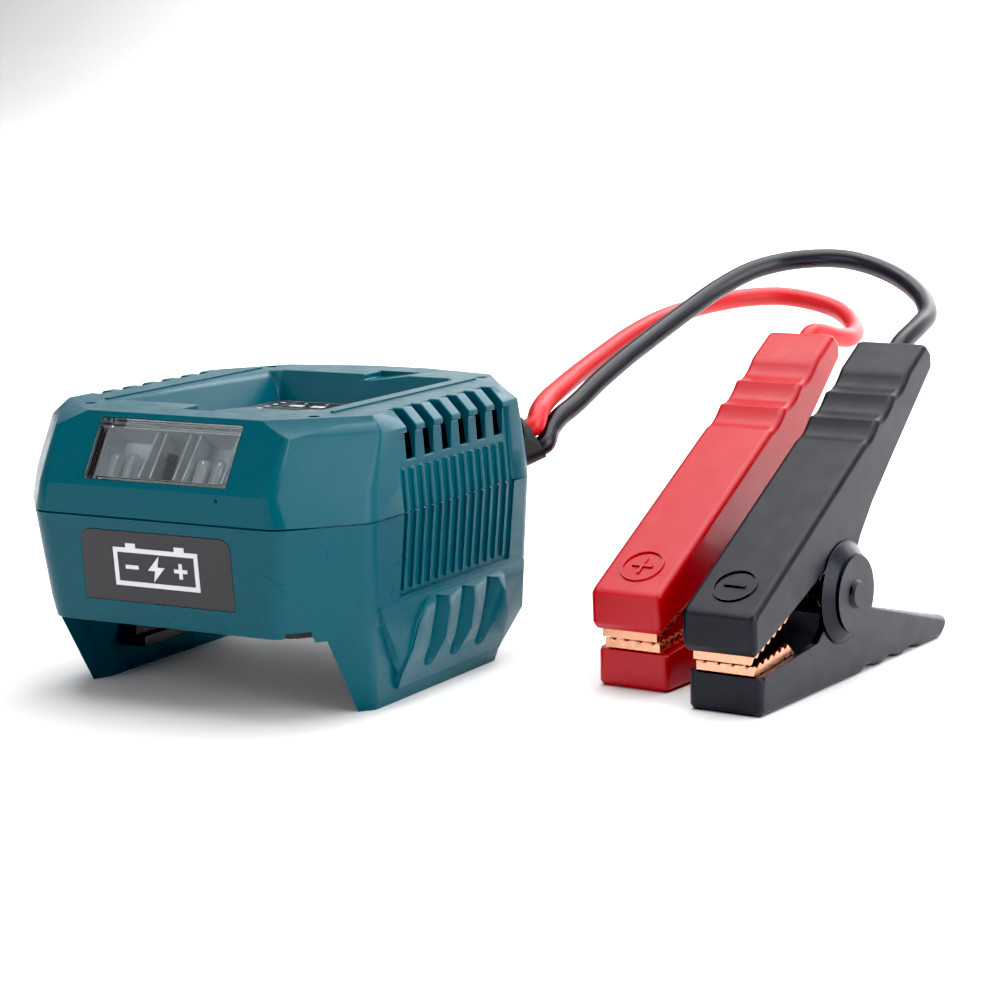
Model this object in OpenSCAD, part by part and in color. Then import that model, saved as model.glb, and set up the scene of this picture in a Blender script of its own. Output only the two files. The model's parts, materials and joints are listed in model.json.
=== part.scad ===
// Jump starter adapter for a slide-on tool battery, with two battery clamps on short leads.
// Millimetres, +Z up. The housing's front, with the work light, faces -Y.
// The origin is under the middle of the housing and clamps together, on the ground.

/* [Housing] */
// Width of the housing at the seam between its shells
body_w = 106; // [104:1:110]
// Depth of the housing at the seam
body_d = 120; // [118:1:124]
// Height of the upper shell's rim above the ground
body_h = 76; // [75:0.5:78]
// Height of the seam between the two shells
seam_z = 51; // [50:0.5:52]
// Wall thickness of the shells
wall = 2.4; // [2:0.1:2.8]
// Width of the bay between the two legs
bay_w = 80; // [78:0.5:81]

/* [Top recess] */
// Width of the recess in the top
recess_w = 61; // [56:1:62]
// Length of the recess in the top
recess_l = 72; // [68:1:73]
// Depth of the recess floor below the rim
recess_depth = 9; // [8:0.5:10]

/* [Side vents and ribs] */
// Number of vent slots on each side
vent_count = 6; // [3:1:6]
// Distance from one vent slot to the next
vent_pitch = 9; // [8:0.25:9]
// Width of a vent slot
vent_w = 4.4; // [3:0.2:5]
// Number of ribs on each side
rib_count = 13; // [7:1:13]
// Distance from one rib to the next
rib_pitch = 4.25; // [4:0.05:4.25]

/* [Clamps] */
// Width of a clamp's covers
clamp_w = 21; // [20:0.5:23]
// Height of the clamp's pivot above the ground
pivot_z = 24; // [23.5:0.25:24.5]
// Distance of the pivot behind the jaw's tip
pivot_s = 45; // [44:0.5:46]
// Angle that the clamps are turned from the housing's depth axis
clamp_yaw = 4.5; // [0:0.5:6]

/* [Leads] */
// Outer diameter of each lead
lead_d = 5.6; // [5:0.1:6]

/* [Hidden] */

$fn = 48;
eps = 0.01;
far = 200;

teal = [0.10, 0.40, 0.47];
dark = [0.14, 0.14, 0.17];
red = [0.80, 0.10, 0.15];
copper = [0.85, 0.50, 0.32];
steel = [0.62, 0.63, 0.66];

// Where the housing and the clamps stand
housing_at = [-46.2, -34];
black_at = [80.8, -29.8];
red_at = [48.3, -16.2];

// Housing outline: front face, chamfers, sides and rear shoulders
half_w = body_w / 2;
half_d = body_d / 2;
slope_angle = 31.3;
slope_z = 58.5;
bevel_z = body_h - 4;
lip_top_z = 28.4;
lip_z = 23;
bay_z = 24;
front_lip_z = 22.6;
soft_r = 7;

// The front slope's distance behind the front face at a height
function slope_in(z) = max(0, (z - slope_z) * tan(slope_angle));

// One level of the housing: half of the outline, from the front centre to the rear centre
function half_outline(hw, fx, fy, sy, ry, rx, by) = [
    [fx, fy], [hw, sy], [hw, ry], [rx, by - 6], [rx - 24, by]
];
function mirrored(points) = [for (i = [len(points) - 1:-1:0]) [-points[i][0], points[i][1]]];

module level(z, points, r, inset = 0) {
    translate([0, 0, z])
    linear_extrude(eps)
    offset(r = r, $fn = 32)
    offset(delta = -r - inset)
    polygon(concat(points, mirrored(points)));
}

seam_outline = half_outline(half_w, 36.8, -half_d, -41, 40, 38, half_d);
bend_outline = half_outline(half_w - 0.5, 35, -half_d, -39.5, 39.6, 37.5, half_d);
bevel_outline = half_outline(half_w - 1.7, 35.6, -half_d + slope_in(bevel_z), -33.4, 37, 37, half_d);
rim_outline = half_outline(half_w - 5.5, 27, -half_d + slope_in(body_h), -31, 33.5, 33.5, half_d - 0.5);
lip_top_outline = half_outline(half_w - 2.1, 34.4, 2.1 - half_d, -38.6, 41.2, 38, half_d - 1.5);
lip_outline = half_outline(half_w - 3, 34, 3.4 - half_d, -37.9, 41.5, 37, half_d - 2.5);
foot_outline = half_outline(half_w - 7.8, 32.4, -44, -29, 33, 32, half_d - 10);

module upper_form(inset) {
    hull() {
        level(seam_z - (inset > 0 ? 1 : 0), seam_outline, soft_r, inset);
        level(slope_z, bend_outline, soft_r - 1, inset);
        level(bevel_z - inset, bevel_outline, 2.5, inset);
        level(body_h - inset - eps, rim_outline, 1.2, inset);
    }
}

module lower_form(inset) {
    hull() {
        level(seam_z - eps + (inset > 0 ? 1 : 0), seam_outline, soft_r, inset);
        level(lip_top_z, lip_top_outline, soft_r, inset);
        level(lip_z, lip_outline, soft_r - 1, inset);
        level(0, foot_outline, soft_r - 4, inset);
    }
}

// Shadow line round the lower shell's top edge, where the two shells meet
groove_w = 0.5;
module seam_groove() {
    translate([0, 0, seam_z - groove_w])
    linear_extrude(2)
    difference() {
        square(far, center = true);
        offset(r = soft_r, $fn = 32)
        offset(delta = -soft_r - groove_w)
        polygon(concat(seam_outline, mirrored(seam_outline)));
    }
}

// Local frame of the front slope: x to the right, y up the slope, z out of it
slope_mid_z = 67.4;
module on_slope() {
    translate([0, -half_d + slope_in(slope_mid_z), slope_mid_z])
    rotate([90 - slope_angle, 0, 0])
    children();
}

lens_w = 43.6;
lens_h = 16.8;
lens_t = 1.8;

// Top recess: sloped walls down to the panel floor
recess_z = body_h - recess_depth;
recess_y = 5.5;
recess_slope = 4;
tub_wall = 2;
module recess_space(grow) {
    hull() {
        translate([-recess_w / 2 - grow, recess_y - recess_l / 2 - grow, body_h + 1 - eps])
        cube([recess_w + 2 * grow, recess_l + 2 * grow, eps]);
        translate([-recess_w / 2 + recess_slope - grow, recess_y - recess_l / 2 + recess_slope - grow,
            recess_z - grow])
        cube([recess_w - 2 * recess_slope + 2 * grow, recess_l - 2 * recess_slope + 2 * grow, eps]);
    }
}

// Screws at the four corners of the rim
rim_screw_x = 34.8;
rim_screw_y = [-38.1, 46.5];
rim_screw_r = 1.5;
module rim_screw_places() {
    for (x = [-rim_screw_x, rim_screw_x], y = rim_screw_y)
        translate([x, y, 0]) children();
}

// Round bosses that bulge into the recess's corners under the rim screws
module recess_bosses() {
    rim_screw_places() translate([0, 0, recess_z - 1]) cylinder(r1 = 12.2, r2 = 8.8, h = recess_depth + 3);
}

// Finger notch in the rim: a steep end and a long ramp up to the other end
module rim_notch(x, y, length) {
    translate([x, y, body_h])
    rotate([90, 0, 0])
    linear_extrude(length)
    polygon([[0, -1.7], [3, -1.6], [8, -0.9], [14, 0], [14, 2], [0, 2]]);
}

// Vents through the side wall and its top bevel
vent_y = -20.8;
vent_z = 63.6;
module vents() {
    for (i = [0:vent_count - 1])
        translate([0, vent_y + i * vent_pitch, 0])
        for (side = [-1, 1])
            translate([side * 60 - 15.5, 0, vent_z])
            cube([31, vent_w, 20]);
}

// The ribbed panel sits a little below the side wall's surface
panel_y0 = -25.8;
panel_y1 = 31.2;
panel_in = 0.9;
rib_z0 = 30.5;
rib_z1 = 61.5;
rib_w = 1.3;
rib_y = -24;
side_lean_up = 4.4;
side_lean_down = 5.3;
module side_slab(x, lean, z0, z1) {
    for (side = [0, 1])
        mirror([side, 0, 0])
        translate([x, 0, seam_z])
        rotate([0, -lean, 0])
        translate([0, panel_y0, z0 - seam_z])
        cube([20, panel_y1 - panel_y0, z1 - z0]);
}
module ribs(lean, z0, z1) {
    for (side = [0, 1])
        mirror([side, 0, 0])
        translate([half_w - panel_in, 0, seam_z])
        rotate([0, -lean, 0])
        for (i = [0:rib_count - 1])
            translate([-0.5, rib_y + i * rib_pitch, z0 - seam_z])
            cube([0.5 + panel_in, rib_w, z1 - z0]);
}

// Cable gland on the right rear chamfer, with one lead above the other
gland_at = [45.6, 46, 58];
gland_yaw = 43;
lead_gap = 6;
module at_gland() {
    translate(gland_at)
    rotate([0, 0, gland_yaw])
    rotate([0, 90, 0])
    children();
}
module oval(w, h, t) {
    for (s = [-1, 1])
        translate([s * (h - w) / 2, 0, 0])
        cylinder(d = w, h = t);
    translate([-(h - w) / 2, -w / 2, 0])
    cube([h - w, w, t]);
}

// Screw bosses near the housing's corners; the screws go in from the bay's ceiling
boss_r = 4.2;
boss_x = 33;
boss_y = [-51.5, 48];
screw_head_z = bay_z + 4;
module boss_places() {
    for (x = [-boss_x, boss_x], y = boss_y)
        translate([x, y, 0]) children();
}

module upper_shell() {
    color(teal)
    difference() {
        union() {
            difference() {
                upper_form(0);
                difference() {
                    upper_form(wall);
                    recess_space(tub_wall);
                    boss_places() translate([0, 0, seam_z - 2]) cylinder(r = boss_r, h = 30);
                    rim_screw_places() translate([0, 0, body_h - 12]) cylinder(r = 3.5, h = 12);
                    board_posts();
                }
                side_slab(half_w - panel_in, side_lean_up, seam_z - 5, bevel_z - 1.5);
            }
            ribs(side_lean_up, seam_z, rib_z1);
            for (side = [-1, 1])
                translate([side * 35.3 - 0.5, recess_y - recess_l / 2, body_h - 1])
                cube([1, recess_l, 1.4]);
        }
        difference() {
            recess_space(0);
            recess_bosses();
        }
        vents();
        rim_notch(-6, recess_y - recess_l / 2 + 3, 11);
        rim_notch(0, recess_y + recess_l / 2 + 8, 11);
        on_slope() translate([-lens_w / 2, -lens_h / 2, -6]) cube([lens_w, lens_h, 10]);
        translate([19.6, -half_d - 1, 57]) rotate([-90, 0, 0]) cylinder(r = 0.45, h = 2);
        rim_screw_places() translate([0, 0, body_h - 1.6]) cylinder(r = rim_screw_r + 0.05, h = 5);
        rim_screw_places() translate([0, 0, body_h - 10]) cylinder(r = 0.8, h = 10);
        at_gland() translate([0, 0, -6]) oval(8.4, 13.4, 12);
        boss_places() translate([0, 0, seam_z - 3]) cylinder(r = 1.25, h = 14);
        panel_openings();
        board_screw_places() translate([0, 0, board_z - 1]) cylinder(r = 0.9, h = 6);
    }
}

// Grip block: a flared ledge on the lower shell's side, over each leg
ledge_z = 27.5;
ledge_x = half_w - 1.4;
module band(half_x, y0, y1, z) {
    translate([-half_x, y0, z]) cube([2 * half_x, y1 - y0, eps]);
}
module grip_block() {
    hull() {
        band(half_w - 2.8, -32.5, 37.5, ledge_z + 1.8);
        band(ledge_x, -36, 38.5, ledge_z);
        band(ledge_x, -34, 37.8, ledge_z - 3.5);
        band(half_w - 2, -27.3, 38, 14.6);
        band(half_w - 5, -21.5, 34.5, 8);
        band(half_w - 6.8, -19, 33.5, 4);
    }
}
// Slanted finger slots in the raised pad on the grip block
slot_lean = 11;
slot_pitch = 13.2;
module grip_slots() {
    for (i = [0:2])
        translate([half_w - 3.8, -8.4 + i * slot_pitch, 17])
        rotate([0, 8.4, 0])
        rotate([-slot_lean, 0, 0]) {
            translate([0, 0, -6.5])
            rotate([0, 90, 0])
            cylinder(r1 = 2, r2 = 5.6, h = 5, $fn = 24);
            translate([0, 0, -6.5])
            linear_extrude(16.2)
            polygon([[0, -2], [5, -6], [5, 5.2], [0, 2]]);
        }
}
module grip_pad() {
    hull() {
        band(ledge_x, -12, 25.6, ledge_z - 0.3);
        band(half_w - 0.7, -15.5, 26, ledge_z - 2);
        band(half_w - 0.5, -18.7, 26.5, 21.5);
        band(half_w - 1.1, -21.5, 28.5, 14.6);
        band(half_w - 4, -22.4, 31, 8);
        band(half_w - 6, -21.4, 32, 4);
    }
}

bay_half = bay_w / 2;
// The inner front corner of a leg, cut along the slanted front
module leg_corner() {
    hull() {
        translate([bay_half, -31.2, -1]) linear_extrude(eps) polygon([[2, 0], [2, -20], [-2, -20], [-2, 7]]);
        translate([bay_half, -40.8, 21]) linear_extrude(eps) polygon([[2, 0], [2, -20], [-2, -20], [-2, 7]]);
    }
}
module lower_shell() {
    color(teal)
    difference() {
        union() {
            difference() {
                union() {
                    lower_form(0);
                    grip_block();
                    grip_pad();
                }
                difference() {
                    intersection() {
                        lower_form(wall);
                        translate([-far, -far, bay_z + wall]) cube([2 * far, 2 * far, far]);
                    }
                    boss_places() cylinder(r = boss_r, h = seam_z);
                }
                side_slab(half_w - panel_in, -side_lean_down, 29, seam_z + 5);
            }
            ribs(-side_lean_down, rib_z0, seam_z);
        }
        // the bay between the legs, open below and at both ends
        translate([-bay_half, -far, -1]) cube([bay_w, 2 * far, front_lip_z + 1]);
        translate([-bay_half, -half_d + 5, -1]) cube([bay_w, body_d - 10, bay_z + 1]);
        // each leg's inner front corner is cut back, and its rear end stands clear of the ground
        for (side = [0, 1])
            mirror([side, 0, 0]) {
                leg_corner();
                grip_slots();
            }
        translate([-far, 44, -1]) cube([2 * far, far, 13]);
        boss_places() translate([0, 0, bay_z - 1]) cylinder(r = 2.9, h = screw_head_z - bay_z + 1);
        boss_places() translate([0, 0, bay_z]) cylinder(r = 1.7, h = seam_z);
        seam_groove();
        terminal_opening();
        plate_screw_places() translate([0, 0, bay_z - 1]) cylinder(r = 1.1, h = 8);
        label_pocket();
    }
}

// Work light behind the front slope
module led_lens() {
    color([0.85, 0.88, 0.9, 0.5])
    on_slope()
    difference() {
        translate([-lens_w / 2 + 0.1, -lens_h / 2 + 0.1, -5])
        cube([lens_w - 0.2, lens_h - 0.2, 5.2]);
        translate([-lens_w / 2 + 1.3, -lens_h / 2 + 1.3, -6])
        cube([lens_w - 2.6, lens_h - 2.6, 6 - lens_t]);
    }
}

cell_x = 10.4;
reflector_top = -lens_t - 0.3;
reflector_t = 8;
module led_reflector() {
    color([0.78, 0.79, 0.82])
    on_slope()
    difference() {
        translate([-lens_w / 2 + 1.6, -lens_h / 2 + 1.6, reflector_top - reflector_t])
        cube([lens_w - 3.2, lens_h - 3.2, reflector_t]);
        for (x = [-cell_x, cell_x])
            translate([x, 0, reflector_top - reflector_t - eps])
            cylinder(r1 = 2.4, r2 = 6.4, h = reflector_t + 2 * eps);
    }
}

led_board_t = 1.2;
led_board_z = reflector_top - reflector_t - led_board_t;
module led_board() {
    color([0.1, 0.35, 0.2])
    on_slope()
    translate([-lens_w / 2 + 1.6, -lens_h / 2 + 2.5, led_board_z])
    cube([lens_w - 3.2, lens_h - 5, led_board_t]);
}
module work_leds() {
    color([0.95, 0.9, 0.6])
    on_slope()
    for (x = [-cell_x, cell_x])
        translate([x - 1.4, -1.4, led_board_z + led_board_t]) cube([2.8, 2.8, 1]);
}

// Front label in a shallow pocket on the lower shell's front face
label_z0 = 28.9;
label_z1 = 47.4;
label_w = 46;
label_lean = 5.6;
label_t = 0.5;
module on_front() {
    translate([0, -half_d, seam_z])
    rotate([90 + label_lean, 0, 0])
    children();
}
module label_shape(grow) {
    height = label_z1 - label_z0;
    translate([-label_w / 2 - grow, label_z0 - seam_z - grow]) square([label_w + 2 * grow, height - 3 + grow]);
    translate([3 - label_w / 2, label_z0 - seam_z]) square([label_w - 6, height + grow]);
    for (s = [-1, 1])
        translate([s * (label_w / 2 - 3), label_z1 - seam_z - 3]) circle(r = 3 + grow, $fn = 32);
}
module label_pocket() {
    on_front() translate([0, 0, -0.35]) linear_extrude(5) label_shape(0.1);
}
module front_label() {
    color(dark)
    on_front() translate([0, 0, -0.35]) linear_extrude(label_t) label_shape(0);
}
// Generic battery mark: an outline with a plus sign and a minus sign
module label_mark() {
    color("white")
    on_front()
    translate([0, (label_z0 + label_z1) / 2 - seam_z, -0.35 + label_t])
    linear_extrude(0.15) {
        difference() {
            translate([-13, -5]) square([26, 10]);
            translate([-11.8, -3.8]) square([23.6, 7.6]);
        }
        for (x = [-9, 6])
            translate([x, 5]) square([3, 1.2]);
        translate([-9.5, -0.5]) square([4, 1]);
        translate([5.5, -0.5]) square([4, 1]);
        translate([7, -2]) square([1, 4]);
        polygon([[1, 3.4], [-2.6, -0.5], [-0.4, -0.5], [-1, -3.4], [2.6, 0.5], [0.4, 0.5]]);
    }
}

// Control panel on the recess floor, with two buttons and their lights
panel_t = 1;
panel_w = recess_w - 2 * recess_slope - 1;
panel_l = recess_l - 2 * recess_slope - 1;
button_y = [recess_y - 14, recess_y + 6];
button_r = 5.5;
button_gap = 0.3;
led_row_y = recess_y + 22;
level_led_count = 4;
module button_places(i) {
    translate([0, button_y[i], 0]) children();
}
module panel_openings() {
    for (i = [0, 1])
        button_places(i) translate([0, 0, recess_z - 4]) cylinder(r = button_r + 0.6, h = 8);
    led_places() translate([0, 0, recess_z - 4]) cylinder(r = 1.3, h = 8);
}
module led_places() {
    for (i = [0:level_led_count])
        translate([-14 + i * 7, led_row_y, 0]) children();
}
module control_panel() {
    color(dark)
    difference() {
        translate([-panel_w / 2, recess_y - panel_l / 2, recess_z]) cube([panel_w, panel_l, panel_t]);
        for (i = [0, 1])
            button_places(i) translate([0, 0, recess_z - 1]) cylinder(r = button_r + button_gap, h = 4);
        for (i = [0:level_led_count])
            translate([-14 + i * 7 - 2.1, led_row_y - 1.3, recess_z - 1]) cube([4.2, 2.6, 4]);
    }
}
button_top = recess_z + panel_t + 0.9;
module button(i) {
    button_places(i) {
        translate([0, 0, recess_z - 3]) cylinder(r = button_r, h = button_top - recess_z + 3);
        translate([0, 0, recess_z - 3]) cylinder(r = button_r + 1.2, h = 0.9);
    }
}
module boost_button() { color([0.75, 0.15, 0.15]) button(0); }
module lamp_button() { color([0.45, 0.46, 0.5]) button(1); }
module led_window(i) {
    translate([-14 + i * 7, led_row_y, 0]) {
        translate([-2, -1.2, recess_z]) cube([4, 2.4, panel_t + 0.1]);
        translate([0, 0, recess_z - 4]) cylinder(r = 1.2, h = 4 + eps);
    }
}
module level_leds() {
    color("white")
    for (i = [0:level_led_count - 1]) led_window(i);
}
module status_led() { color("red") led_window(level_led_count); }

// Electronics under the recess floor
board_z = 52;
board_t = 1.6;
board_w = 66;
board_l = 74;
board_y = 4;
post_x = 28;
post_y = [-26, 34];
module board_screw_places() {
    for (x = [-post_x, post_x], y = post_y)
        translate([x, y, 0]) children();
}
module board_posts() {
    board_screw_places() translate([0, 0, board_z + board_t]) cylinder(r = 2.6, h = 14);
}
module main_board() {
    color([0.1, 0.35, 0.2])
    difference() {
        translate([-board_w / 2, board_y - board_l / 2, board_z]) cube([board_w, board_l, board_t]);
        board_screw_places() translate([0, 0, board_z - 1]) cylinder(r = 1.1, h = 4);
    }
}
module button_switches() {
    color(steel)
    for (i = [0, 1])
        button_places(i)
        translate([-3, -3, board_z + board_t])
        cube([6, 6, recess_z - 3.9 - board_z - board_t]);
}
module power_relay() {
    color([0.15, 0.3, 0.6])
    translate([-14, -18, board_z - 16]) cube([28, 24, 16]);
}
module heat_sink() {
    color(steel)
    translate([-16, 14, board_z - 12]) {
        translate([0, 0, 9]) cube([32, 20, 3]);
        for (i = [0:5])
            translate([i * 6, 0, 0]) cube([2, 20, 9 + eps]);
    }
}
module board_screws() {
    color(steel)
    board_screw_places() {
        translate([0, 0, board_z - 1.2]) cylinder(r = 2.2, h = 1.2);
        translate([0, 0, board_z - eps]) cylinder(r = 0.9, h = 5);
    }
}

// Battery interface: a slide plate under the bay's ceiling with rails and terminals
plate_t = 3;
plate_l = 92;
plate_y = -2;
rail_in = 6;
rail_y0 = -20;
rail_y1 = 32;
plate_edge = [
    [bay_half - 8, -plate_l / 2], [bay_half - 0.2, 7 - plate_l / 2],
    [bay_half - 0.2, plate_l / 2 - 4], [bay_half - 5, plate_l / 2]
];
module plate_screw_places() {
    for (x = [-27, 27], y = [-36, 32])
        translate([x, y, 0]) children();
}
module terminal_opening() {
    translate([-12, -14, bay_z - 8]) cube([24, 22, 14]);
}
module slide_plate() {
    color(dark)
    difference() {
        union() {
            translate([0, plate_y, bay_z - plate_t])
            linear_extrude(plate_t)
            polygon(concat(plate_edge, mirrored(plate_edge)));
            for (side = [0, 1])
                mirror([side, 0, 0]) {
                    translate([bay_half - 3.2, rail_y0, 7]) cube([3, rail_y1 - rail_y0, 15]);
                    translate([bay_half - rail_in, rail_y0, 7]) cube([rail_in - 0.2, rail_y1 - rail_y0, 3]);
                }
        }
        terminal_opening();
        plate_screw_places() translate([0, 0, bay_z - plate_t - 1]) cylinder(r = 1.2, h = 6);
        plate_screw_places() translate([0, 0, bay_z - plate_t - 1]) cylinder(r = 2.5, h = 2.2);
    }
}
module terminal_block() {
    color([0.2, 0.2, 0.22])
    difference() {
        union() {
            translate([-11.8, -13.8, bay_z - 6]) cube([23.6, 21.6, 6 + wall]);
            translate([-13.5, -15.5, bay_z + wall]) cube([27, 25, 1.6]);
        }
        for (x = [-8.5, 8.5])
            translate([x - 0.5, -10, bay_z - 9]) cube([1, 15, 20]);
    }
}
module power_terminals() {
    color(copper)
    for (x = [-8.5, 8.5])
        translate([x - 0.4, -9.5, bay_z - 13]) cube([0.8, 14, 22]);
}
module plate_screws() {
    color(steel)
    plate_screw_places() {
        translate([0, 0, bay_z - plate_t]) cylinder(r = 2.4, h = 1.1);
        translate([0, 0, bay_z - plate_t + 1]) cylinder(r = 1.1, h = 6);
    }
}
module housing_screws() {
    color(steel)
    boss_places() {
        translate([0, 0, screw_head_z - 2.4]) cylinder(r = 2.7, h = 2.4);
        translate([0, 0, screw_head_z - eps]) cylinder(r = 1.25, h = 30);
    }
}
module rim_screws() {
    color(steel)
    rim_screw_places()
    difference() {
        union() {
            translate([0, 0, body_h - 1.6]) cylinder(r = rim_screw_r, h = 1.2);
            translate([0, 0, body_h - 9]) cylinder(r = 0.8, h = 8);
        }
        translate([-1, -0.2, body_h - 0.8]) cube([2, 0.4, 1]);
        translate([-0.2, -1, body_h - 0.8]) cube([0.4, 2, 1]);
    }
}

// Gland: a flange in the shell's opening and a boot that both leads leave through
gland_out = 5;
gland_tilt = 30;
module cable_gland() {
    color(dark)
    at_gland()
    difference() {
        union() {
            translate([0, 0, -4]) oval(8.2, 13.2, 5.2);
            translate([0, 0, 1.1]) oval(9.6, 14.6, 0.6);
            translate([0, 0, -5.4]) oval(10.4, 13.6, 1.4);
            hull() {
                translate([0, 0, 1]) oval(8.8, 13.8, eps);
                translate([-1.5, 0, gland_out]) rotate([0, -gland_tilt, 0])
                translate([0, 0, -eps]) oval(7.6, 12.8, eps);
            }
        }
        for (s = [-1, 1])
            translate([s * lead_gap / 2, 0, -8]) cylinder(d = lead_d - 1, h = 8.5);
    }
}

// Height of the upper arm's top line at a distance from the jaw's tip
arm_angle = 30.5;
function top_line(s) = 27.2 + (s + 2) * tan(arm_angle);
// The lug that ends a lead lies this far below the top line
lug_s = 46;
lug_l = 10;
tang_l = 16;
function lug_line(s) = top_line(s) - 9;

// Leads: a round tube swept along hand-chosen points, from the gland's face, through the
// hole in the end of a clamp's upper handle and along inside it to the lug
// A point on the boot's tilted mouth, up or down from its centre, and a distance out of it
function gland_mouth(up, out) =
    let (
        along = gland_out + out * cos(gland_tilt) - up * lead_gap / 2 * sin(gland_tilt),
        rise = 1.5 + out * sin(gland_tilt) + up * lead_gap / 2 * cos(gland_tilt)
    ) [
        housing_at[0] + gland_at[0] + along * cos(gland_yaw),
        housing_at[1] + gland_at[1] + along * sin(gland_yaw),
        gland_at[2] + rise
    ];
function in_clamp(at, s, z) = [at[0] + s * sin(clamp_yaw), at[1] + s * cos(clamp_yaw), z];
function lead_end(at) = [
    in_clamp(at, 101, 83), in_clamp(at, 97.2, 80.5), in_clamp(at, 92.5, 77.5),
    in_clamp(at, 84, 71.2), in_clamp(at, lug_s + 6, lug_line(lug_s + 6)),
    in_clamp(at, lug_s, lug_line(lug_s))
];
black_route = concat([gland_mouth(-1, 0), gland_mouth(-1, 2)], [
    [4.9, 21.5, 61], [5.3, 26, 63.8], [7, 33, 67], [9.2, 43, 72.3], [12.2, 54, 77.8],
    [15.8, 66, 83.3], [20, 79, 89.3], [25, 90.5, 95], [31, 99.5, 99.3], [38, 106.5, 101.5],
    [46, 110, 102.4], [55, 111, 102.4], [64, 109.5, 101], [73, 106, 98.5], [80.5, 101, 95.6],
    [86, 95.5, 92.6], [89.6, 88.5, 89.2], [89.9, 80, 86.6]
], lead_end(black_at));
red_route = concat([gland_mouth(1, 0), gland_mouth(1, 2)], [
    [2.6, 19.4, 66.2], [1.6, 26, 68.6], [1.5, 33, 70.6], [1.8, 44, 73.8], [3.2, 57, 77.8],
    [5.3, 71, 82.2], [8.4, 86, 85.8], [12, 99, 87.6], [17, 110, 88.9], [23, 118, 89.6],
    [30.5, 124, 89.5], [39, 126.5, 88.1], [47, 125.5, 86], [53.8, 120, 83.4], [58.5, 112, 81],
    [60, 103.5, 80.2], [58.8, 95, 81.5], [57.3, 89.5, 82.8]
], lead_end(red_at));
ring_sides = 10;
function unit(v) = v / norm(v);
function tangent(p, i) = unit(p[min(i + 1, len(p) - 1)] - p[max(i - 1, 0)]);
function ring(c, t) =
    let (u = unit(cross(t, [0, 0, 1])), v = cross(u, t))
    [for (k = [0:ring_sides - 1])
        c + lead_d / 2 * (cos(k * 360 / ring_sides) * u + sin(k * 360 / ring_sides) * v)];
module swept(points) {
    n = len(points);
    m = ring_sides;
    verts = [for (i = [0:n - 1]) each ring(points[i], tangent(points, i))];
    sides = [for (i = [0:n - 2], k = [0:m - 1])
        [i * m + k, i * m + (k + 1) % m, (i + 1) * m + (k + 1) % m, (i + 1) * m + k]];
    caps = [[for (k = [m - 1:-1:0]) k], [for (k = [0:m - 1]) (n - 1) * m + k]];
    polyhedron(verts, concat(sides, caps));
}
module red_lead() { color(red) swept(red_route); }
module black_lead() { color(dark) swept(black_route); }

// ---- Clamps ----
// Local frame: x across, y from the jaw's tip to the handle, z up
half_c = clamp_w / 2;
cover_t = 2;
ear_gap = 0.35;
ear_t = 2.6;
disc_r = 10.2;
disc_t = 0.9;
pin_r = 2;
arm_ear_r = 8;

module across(x0, x1) {
    translate([x0, 0, 0])
    rotate([90, 0, 90])
    linear_extrude(x1 - x0)
    children();
}

arm_end = 95;
wave_pitch = 9.4;
wave_start = 84;
wave_depth = 1.6;
// Three finger grooves: each falls in a curve and rises in a step
grip_waves = [for (g = [0:2]) each [
    for (k = [0:5])
        let (s = wave_start - (g + k / 6) * wave_pitch)
        [s, top_line(s) - wave_depth * sin(k * 30)]
]];
upper_profile = concat(
    [[-1.8, 15.8], [-3.2, 17.5], [-3.6, 25.6], [-2, top_line(-2)]],
    [for (i = [len(grip_waves) - 1:-1:0]) grip_waves[i]],
    [[arm_end, top_line(arm_end)], [98.5, 81.5], [99.3, 77], [62, 45.8], [55, 37.9], [52, 33],
     [38, 33], [34, 31.8], [26, 26.6]]
);
module upper_cover() {
    difference() {
        union() {
            across(-half_c, half_c) polygon(upper_profile);
            // flared ears that reach down past the pivot
            for (side = [0, 1])
                mirror([side, 0, 0]) {
                    translate([half_c + ear_gap, pivot_s, pivot_z])
                    rotate([0, 90, 0])
                    cylinder(r1 = 13.5, r2 = disc_r + 0.3, h = ear_t);
                    intersection() {
                        across(half_c - 1, half_c + ear_gap + eps) polygon(upper_profile);
                        translate([0, pivot_s, pivot_z]) rotate([0, 90, 0]) cylinder(r = 13.5, h = 20);
                    }
                }
        }
        // hollow inside, open below
        across(-half_c + cover_t, half_c - cover_t)
        polygon([
            [-1.4, 10], [-1.4, top_line(-1.4) - 3], [wave_start + 1, top_line(wave_start + 1) - 3],
            [wave_start + 3, top_line(wave_start + 3) - 1.8], [arm_end - 1, top_line(arm_end - 1) - 1.8],
            [96.6, 77.4], [96.8, 76.6], [62, 40], [50, 20], [26, 10]
        ]);
        translate([-half_c - ear_gap, pivot_s, pivot_z]) rotate([0, 90, 0])
        cylinder(r = arm_ear_r + 0.6, h = clamp_w + 2 * ear_gap);
        translate([-20, pivot_s, pivot_z]) rotate([0, 90, 0]) cylinder(r = pin_r, h = 40);
        lead_hole();
    }
}
// The lead enters the end of the upper handle
module lead_hole() {
    translate([0, 97.2, 80.5])
    rotate([-57, 0, 0])
    cylinder(d = lead_d + 0.6, h = 14, center = true);
}

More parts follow.
